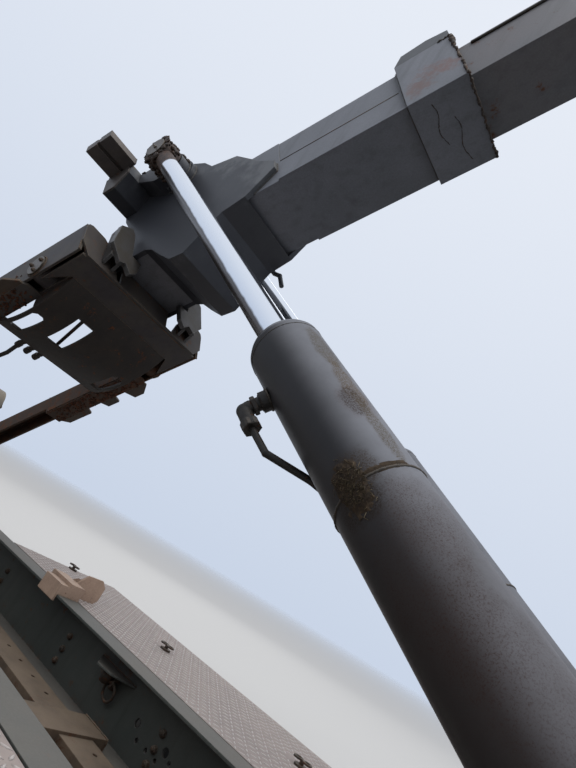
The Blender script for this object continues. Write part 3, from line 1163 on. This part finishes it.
# %% Grease
old_grease = aged_steel("dust and old grease", "#271f19", "#3f2c20", patch=25, rough=0.5, rust=0.4,
                        rust_size=14, dust=0.2, dust_colour="#57432f", wear=0.0, grime=0.6, relief=0.8)
new_grease = aged_steel("fresh grease", "#6f6244", "#857650", patch=16, rough=0.28, rust=0.0,
                        rust_size=8, dust=0.1, wear=0.0, grime=0.3, relief=0.4)


def lump(builder, place, size, seed, squash=(1.0, 1.0, 1.0)):
    """A small rough ball of this many millimetres across its middle."""
    radius = 0.5 * size * MM
    made = bmesh.ops.create_icosphere(builder, subdivisions=2, radius=radius)
    # the noise is scaled to the ball, so lumps of every size are equally rough
    for v in made["verts"]:
        rough = 1.0 + 0.45 * field.noise(v.co * (1.2 / radius) + Vector((seed, 0, 0)))
        v.co = Vector([a * b for a, b in zip(v.co, squash)]) * rough + place


# the y of the rod eye's greasy face and of the two ends of the band of paste round the eye, and the
# eye's radius
EYE_FACE, EYE_IN, EYE_OUT, EYE_RADIUS = 388.5, 302, 385, 78
for name, side in SIDES.items():
    paste = bmesh.new()
    for k in range(96):
        a = math.radians(dice.uniform(0, 360))
        r = dice.uniform(50, 79)
        y = side * (EYE_FACE + dice.uniform(-1, 5))
        place = on_arm(r * math.cos(a), y, r * math.sin(a))
        lump(paste, place, dice.uniform(12, 32), k, (1.0, 0.55, 1.0))
    for k in range(70):
        a = math.radians(dice.uniform(0, 360))
        y = side * dice.uniform(EYE_IN, EYE_OUT)
        place = on_arm(EYE_RADIUS * math.cos(a), y, EYE_RADIUS * math.sin(a))
        lump(paste, place, dice.uniform(10, 26), 100 + k)
    piece("eye_grease_" + name, paste, old_grease, name + "_rod")

paste = bmesh.new()
for side in (-1, 1):
    for k in range(60):
        a = math.radians(dice.uniform(20, 250))
        y = side * dice.uniform(232, 288)
        place = on_arm(TUBE_RING * math.cos(a), y, TUBE_RING * math.sin(a))
        lump(paste, place, dice.uniform(12, 32), 200 + k)
    for k in range(46):
        s, y, n = dice.uniform(-200, -80), side * dice.uniform(230, 290), dice.uniform(76, 88)
        lump(paste, on_arm(s, y, n), dice.uniform(12, 30), 300 + k, (1.0, 1.0, 0.5))
piece("tube_grease", paste, old_grease, "main_arm")

paste = bmesh.new()
for side in (-1, 1):
    for k in range(18):
        s, y, n = dice.uniform(-232, -206), side * dice.uniform(300, 358), dice.uniform(76, 94)
        lump(paste, on_arm(s, y, n), dice.uniform(7, 17), 400 + k)
piece("fresh_grease", paste, new_grease, "main_arm")

PIN_FACE = arm_box("eye_pin_left")[1][1]
for name, side in SIDES.items():
    nipple = bmesh.new()
    turned(nipple, on_arm(0, side * PIN_FACE, 0), OUTWARD[side],
           [(-1, 9), (4, 9), (4.5, 5), (9, 5), (10, 3), (13, 3.6), (15, 2.2)], sides=12)
    piece("grease_nipple_" + name, nipple, finishes["pin_steel"], name + "_rod")

# %% [markdown]
# The collar at the mouth of the outer box was cut by hand with a torch, and its front edge is
# ragged with slag. A box edge can't show that, so a thin strip of rough metal runs round the
# mouth: a sweep whose radius jumps from ring to ring. Slimmer strips of the same slag lie on the
# collar's underside, where old pads were cut off.

# %% Torch-cut edge of the collar
slag = aged_steel("torch-cut edge with slag", "#33302e", "#4b3d33", patch=30, rough=0.7, rust=0.55,
                  rust_size=14, dust=0.25, wear=0.4, wear_colour="#6b6058", grime=0.5, relief=0.8)


def ragged(builder, points, low, high):
    """A rough strip whose thickness jumps between two values in millimetres."""
    path = spaced(points, 6 * MM)
    path = [p + Vector([dice.uniform(-0.25, 0.25) * high * MM for _ in range(3)]) for p in path]
    sweep(builder, path, [dice.uniform(low, high) * 0.5 * MM for _ in path])


edge = bmesh.new()
mouth_s = COLLAR_FRONT - 2
loop = [(-COLLAR_HALF, COLLAR_LOW), (COLLAR_HALF, COLLAR_LOW), (COLLAR_HALF, COLLAR_TOP),
        (-COLLAR_HALF, COLLAR_TOP), (-COLLAR_HALF, COLLAR_LOW)]
ragged(edge, [on_arm(mouth_s, y, n) for y, n in loop], 5, 15)
ragged(edge, [on_arm(mouth_s, -COLLAR_HALF, n) for n in (-230, COLLAR_TOP - 1)], 10, 22)
ragged(edge, [on_arm(s, -COLLAR_HALF, COLLAR_TOP - 1) for s in (1350, mouth_s)], 6, 16)
for s, y0, y1 in ((1238, -150, 40), (1300, -60, 150)):
    ragged(edge, [on_arm(s + 10 * math.sin(k * 0.9), y0 + (y1 - y0) * k / 8, COLLAR_LOW - 0.5)
                  for k in range(9)], 1.5, 4)
piece("collar_slag", edge, slag, "main_arm")

# %% [markdown]
# Along the top of each side of the jib runs a slide strip: a flat, dark, greasy bar, which ends in
# front of the collar while the jib is out. On the outer box the two halves of the shell overlap,
# and their joint is caulked. Both are long straight forms with a small real thickness, so they are
# bars with bevelled edges.

# %% Strips on the jib and the box
def bar(builder, low, high, bevel=2.0, place=on_arm):
    """A bar between two corners in millimetres, with bevelled edges."""
    corners = [(a, b, c) for a in (low[0], high[0]) for b in sorted((low[1], high[1]))
               for c in (low[2], high[2])]
    made = [builder.verts.new(place(*corner)) for corner in corners]
    quads = ((0, 1, 3, 2), (4, 6, 7, 5), (0, 4, 5, 1), (2, 3, 7, 6), (0, 2, 6, 4), (1, 5, 7, 3))
    faces = [builder.faces.new([made[k] for k in quad]) for quad in quads]
    bmesh.ops.recalc_face_normals(builder, faces=faces)
    edges = list(dict.fromkeys(edge for face in faces for edge in face.edges))
    bmesh.ops.bevel(builder, geom=edges, offset=bevel * MM, segments=2, affect="EDGES")


slide = aged_steel("greasy slide strip", "#2d2b2a", "#3d3631", patch=60, rough=0.38, metal=0.2,
                   rust=0.3, rust_size=20, dust=0.3, wear=0.6, wear_colour="#77716a", grime=0.4)
strips = bmesh.new()
for side in (-1, 1):
    bar(strips, (1460, side * JIB_HALF, -214), (2590, side * (JIB_HALF + 7), -196))
piece("jib_slide_strips", strips, slide, "jib")

strips = bmesh.new()
for side in (-1, 1):
    bar(strips, (575, side * (BOX_HALF - 5), -331), (1140, side * (BOX_HALF + 1), -324), bevel=1.0)
piece("box_joint", strips, slag, "main_arm")

# %% [markdown]
# Under the tipping frame rust has lifted the paint in flakes, thick enough to see against the sky.
# Each flake is a thin crooked plate, held at one edge. They lie on the flange plates and on the
# outer faces of the beams, rather more of them on the near side.

# %% Rust flakes
flake_rust = aged_steel("flaking rust", "#4a2a1c", "#6d3d25", patch=20, rough=0.85, rust=0.7,
                        rust_size=10, dust=0.15, wear=0.0, grime=0.3, relief=0.9)


def flake(builder, place, along, across, out, size):
    """A crooked five-cornered scale, 1 mm thick, that lifts at one side."""
    corners = []
    for k in range(5):
        a = 2 * math.pi * k / 5 + dice.uniform(-0.4, 0.4)
        r = size * 0.5 * dice.uniform(0.6, 1.1)
        lift = max(0.0, math.cos(a)) * size * dice.uniform(0.0, 0.22)
        corners.append(place + (along * math.cos(a) * r + across * math.sin(a) * r * 0.8
                                + out * (lift + 0.3)) * MM)
    top = [builder.verts.new(c + out * 1.0 * MM) for c in corners]
    low = [builder.verts.new(c - out * 0.6 * MM) for c in corners]
    builder.faces.new(top)
    builder.faces.new(low[::-1])
    for k in range(5):
        builder.faces.new((top[k], low[k], low[(k + 1) % 5], top[(k + 1) % 5]))


flakes = bmesh.new()
for _ in range(520):
    side = -1 if dice.random() < 0.6 else 1
    s, y = dice.uniform(-1330, -700), side * dice.uniform(BEAM_IN + 2, BEAM_OUT - 2)
    flake(flakes, on_arm(s, y, FRAME_LOW - 0.5), ARM_S, LEFT, -ARM_N, dice.uniform(6, 26))
for _ in range(220):
    side = -1 if dice.random() < 0.5 else 1
    s, y, n = dice.uniform(-1270, -700), side * (BEAM_OUT + 0.5), dice.uniform(-612, -520)
    flake(flakes, on_arm(s, y, n), ARM_S, ARM_N, OUTWARD[side], dice.uniform(5, 18))
piece("rust_flakes", flakes, flake_rust, "tipping_frame", smooth=False)

# %% [markdown]
# The lines in the trough end in crimped ferrules and union nuts. They are turned parts: a nut with
# six flats and a ferrule with crimp grooves. The pipes of the cylinders get nuts at both ends of
# their elbows. The CAD has the lines and pipes themselves.

# %% Hose ends
black_steel = aged_steel("phosphated hose ends", "#262423", "#38312b", patch=30, rough=0.5, metal=0.1,
                         rust=0.45, rust_size=9, dust=0.15, wear=0.5, wear_colour="#6b645a", grime=0.6)
NUT_S, FERRULE_S, LINE_N = -975, -1009, -612
ends = bmesh.new()
for y in (-150, -95, -40):
    turned(ends, on_arm(NUT_S, y, LINE_N), -ARM_S, [(0, 19), (12, 19), (14, 17)], sides=6)
    turned(ends, on_arm(FERRULE_S, y, LINE_N), -ARM_S,
           [(0, 17.5), (6, 17.5), (8, 15.5), (10, 17.5), (16, 17.5), (18, 15.5), (20, 17.5),
            (28, 17), (30, 14)])
piece("hose_ends", ends, black_steel, "tipping_frame")

for name, side in SIDES.items():
    ends = bmesh.new()
    port_out = (on_cylinder(side, 0, 1, PORT_ANGLE) - on_cylinder(side, 0, 0, 0)).normalized()
    for h, radius in ((113, 21), (133, 23)):
        turned(ends, on_cylinder(side, PORT_U, h, PORT_ANGLE), port_out,
               [(0, radius), (1.5, radius + 2), (10, radius + 2), (12, radius)], sides=6)
    turned(ends, on_cylinder(side, PORT_U - 50, 168, PORT_ANGLE), -axis_of[side],
           [(0, 23), (1.5, 25), (22, 25), (24, 23)], sides=6)
    piece("pipe_unions_" + name, ends, black_steel, name + "_barrel", smooth=False)

# %% [markdown]
# On the inside of each rail hangs a lashing ring on a welded staple, next to a small shelf. A ring
# is a closed sweep, and its staple is a bent bar.

# %% Lashing rings
RING_X, RING_Z, RING_RADIUS = 2390, 134, 34
SHELF_X, SHELF_OUT = (2340, 2372), 60
rings = bmesh.new()
for side in (-1, 1):
    inner = side * RAIL_WEB
    staple = spaced([on_frame(RING_X, inner, 178), on_frame(RING_X, inner - side * 26, 176),
                     on_frame(RING_X, inner - side * 30, 150), on_frame(RING_X, inner, 146)], 4 * MM)
    sweep(rings, staple, [7 * MM] * len(staple), sides=10)
    loop = [on_frame(RING_X + RING_RADIUS * math.cos(a), inner - side * (22 + 5 * math.sin(a)),
                     RING_Z + RING_RADIUS * math.sin(a)) for a in turns(40)]
    sweep(rings, loop, [5.5 * MM] * len(loop), sides=10, closed=True)
    bar(rings, (SHELF_X[0], inner, 150), (SHELF_X[1], inner - side * SHELF_OUT, 196),
        bevel=4.0, place=on_frame)
piece("lashing_rings", rings, finishes["clamp_steel"], "subframe")
